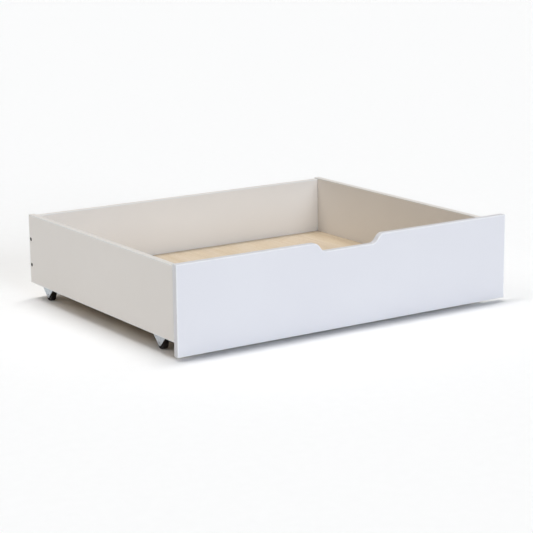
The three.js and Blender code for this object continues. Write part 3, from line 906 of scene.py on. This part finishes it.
def bracket_mesh(name):
    """A U-shaped pressed bracket with its axle on the X axis through the origin."""
    low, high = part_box(f"castor_bracket_{name}")
    axle = middle(f"castor_wheel_{name}")
    half, reach = (high.x - low.x) / 2, (high.y - low.y) / 2
    top = high.z - axle.z
    bottom = -TIP - 1 * MM
    inner = BEND - SHEET
    right = [(half, bottom)] + arc((half - BEND, top - BEND), BEND, 0, 90, 8)
    left = arc((BEND - half, top - BEND), BEND, 90, 180, 8) + [(-half, bottom)]
    inside_left = [(SHEET - half, bottom)] + arc((BEND - half, top - BEND), inner, 180, 90, 6)
    inside_right = arc((half - BEND, top - BEND), inner, 90, 0, 6) + [(half - SHEET, bottom)]
    section = [*right, *left, *inside_left, *inside_right]
    long = reach + 1 * MM
    folded = prism([(x, -long, z) for x, z in section], Vector((0, 2 * long, 0)))
    lean = math.atan2(top - SKIRT, reach)
    tangent = math.degrees(lean - math.acos(TIP / math.hypot(reach, top - SKIRT)))
    outline = [(-reach, top + 1 * MM), (-reach, top - SKIRT)]
    outline += arc((0, 0), TIP, -180 - tangent, tangent, 20)
    outline += [(reach, top - SKIRT), (reach, top + 1 * MM)]
    legs = prism([(-half - 1 * MM, y, z) for y, z in outline], Vector((2 * half + 2 * MM, 0, 0)))
    made = object_from(mesh_from(folded, name), name)
    combine(made, [legs], "INTERSECT")
    tools = [moved(rod(AXLE_RADIUS + GAP, 2 * half + 4 * MM, 32), towards((-half - 2 * MM, 0, 0), X))]
    for end in "ab":
        screw = middle(f"castor_screw_{name}_{end}") - axle
        start = (screw.x, screw.y, top - 4 * MM)
        tools.append(moved(rod(WOOD_SCREW_SHANK + GAP, 6 * MM, 32), towards(start, Z)))
    combine(made, tools)
    soften = made.modifiers.new("pressed_edges", "BEVEL")
    soften.width = 0.25 * MM
    soften.segments = 2
    soften.limit_method = "ANGLE"
    soften.angle_limit = math.radians(35)
    settled(made)
    return keep_mesh(made)


def wheel_profile(radius, width):
    """A wheel's section from bore to bore: hub, dished web, rounded shoulder and ribbed tread."""
    groove, depth, shoulder_radius = 0.5 * MM, 0.7 * MM, 1.3 * MM
    face = 0.15 * MM
    profile = [(WHEEL_BORE, 0), (HUB - 0.3 * MM, 0), (HUB, 0.3 * MM), (HUB + 0.2 * MM, DISH)]
    profile += [(RIM - 0.4 * MM, DISH), (RIM, face + 0.3 * MM), (RIM + 0.3 * MM, face)]
    profile += arc((radius - shoulder_radius, face + shoulder_radius), shoulder_radius, -90, 0, 8)
    for share in (0.28, 0.5, 0.72):
        at = width * share
        profile += [(radius, at - groove), (radius - depth, at - groove * 0.55)]
        profile += [(radius - depth, at + groove * 0.55), (radius, at + groove)]
    mirrored = [(r, width - a) for r, a in reversed(profile) if a < width * 0.2]
    return profile + mirrored


def wheel_mesh(name):
    """A moulded wheel centred on the origin, with its axle along X."""
    low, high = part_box(f"castor_wheel_{name}")
    radius, width = (high.z - low.z) / 2, high.x - low.x
    made = object_from(mesh_from(turned(wheel_profile(radius, width), 96, closed=True), name), name)
    ribs = []
    for turn in ring(SPOKES):
        spin = Matrix.Rotation(turn, 4, "Z")
        inside, outside = HUB - 0.4 * MM, RIM + 0.1 * MM
        for near, far in ((0.5 * MM, DISH + 0.4 * MM), (width - DISH - 0.4 * MM, width - 0.5 * MM)):
            rib = block(Vector((inside, -0.5 * MM, near)), Vector((outside, 0.5 * MM, far)))
            ribs.append(moved(rib, spin))
    combine(made, ribs, "UNION")
    made.data.transform(towards((-width / 2, 0, 0), X))
    return keep_mesh(made)


def axle_mesh(name):
    """A rivet with two domed heads, centred on the origin, along X."""
    low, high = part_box(f"castor_axle_{name}")
    length = high.x - low.x
    sphere = (AXLE_HEAD ** 2 + AXLE_HEAD_LENGTH ** 2) / (2 * AXLE_HEAD_LENGTH)
    spread = math.degrees(math.asin(AXLE_HEAD / sphere))
    dome = [(r, a) for a, r in arc((sphere, 0), sphere, 180, 180 - spread, 8)]
    first = [*dome, (AXLE_HEAD, AXLE_HEAD_LENGTH * 1.05), (AXLE_RADIUS, AXLE_HEAD_LENGTH * 1.05)]
    profile = first + [(r, length - a) for r, a in reversed(first)]
    bm = turned(profile, 32)
    return mesh_from(moved(bm, towards((-length / 2, 0, 0), X)), name)


def make_castors(zinc, steel, plastic, screw_finish):
    names = [f"{row}_{side}" for row in ROWS for side in SIDES]
    bracket, wheel, axle = bracket_mesh(names[0]), wheel_mesh(names[0]), axle_mesh(names[0])
    for name in names:
        place = Matrix.Translation(middle(f"castor_wheel_{name}"))
        copy_for(f"castor_bracket_{name}", bracket, place, zinc)
        copy_for(f"castor_wheel_{name}", wheel, place, plastic)
        copy_for(f"castor_axle_{name}", axle, place, steel)
    place_fasteners("castor", lambda length, name: pan_screw_mesh(name), screw_finish, PAN_HEAD)


def place_fasteners(kind, make_mesh, finish, head=0.0):
    """Puts one shared mesh in the place of every fastener of a kind and length.

    make_mesh takes the length and a name. head is the length that lies before the bearing face.
    """
    shared = {}
    for name, start, direction in PLACES[kind]:
        length = round(length_of(name, direction), 5)
        if length not in shared:
            shared[length] = make_mesh(length_of(name, direction), name)
        copy_for(name, shared[length], towards(start + direction * head, direction), finish)


make_camera()
make_lights()
make_floor(studio_paper("studio_paper"))

# The third colour of each lacquer is a painted highlight along the rounded edges.
front_white = lacquer("front_white", (0.722, 0.713, 0.736), (0.708, 0.698, 0.724), (0.80, 0.80, 0.81))
warm_white = lacquer("warm_white", (0.82, 0.78, 0.735), (0.805, 0.765, 0.72), (0.80, 0.80, 0.785))
zinc = metal("bright_zinc", (0.62, 0.66, 0.70), (0.46, 0.50, 0.54), 0.28, 0.46)
cast_zinc = metal("cast_zinc", (0.56, 0.57, 0.58), (0.42, 0.43, 0.44), 0.36, 0.55)
rivet = metal("rivet_steel_plated", (0.66, 0.68, 0.70), (0.50, 0.52, 0.54), 0.22, 0.4)
screw_finish = metal("screw_zinc", (0.66, 0.65, 0.60), (0.50, 0.49, 0.46), 0.25, 0.42)
dark_steel = metal("dark_screw", (0.10, 0.095, 0.09), (0.05, 0.048, 0.046), 0.3, 0.5)

base_low, base_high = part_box("base_panel")
make_front(front_white)
make_carcass(warm_white)
make_base(birch_ply("birch_ply"), ply_edge("ply_edge", base_low.z, base_high.z - base_low.z))

pine_lengthwise = softwood("pine_along_y", "Y")
pine_crosswise = softwood("pine_along_x", "X")
for side in SIDES:
    make_board(f"batten_{side}", BATTEN_ARRIS, bores_for("side", "castor", only=side), pine_lengthwise)
for end in ("front", "back"):
    make_cross_batten(end, pine_crosswise)
make_rail(pine_lengthwise)

make_castors(zinc, rivet, moulded_plastic("black_plastic"), screw_finish)
place_fasteners("confirmat", lambda length, name: confirmat_mesh(name), dark_steel)
place_fasteners("cam", lambda length, name: cam_mesh(name), cast_zinc)
place_fasteners("bolt", cam_bolt_mesh, screw_finish)
place_fasteners("dowel", lambda length, name: dowel_mesh(name), hardwood("beech_dowel"))
for kind in ("side", "cross", "rail"):
    place_fasteners(kind, wood_screw_mesh, screw_finish)
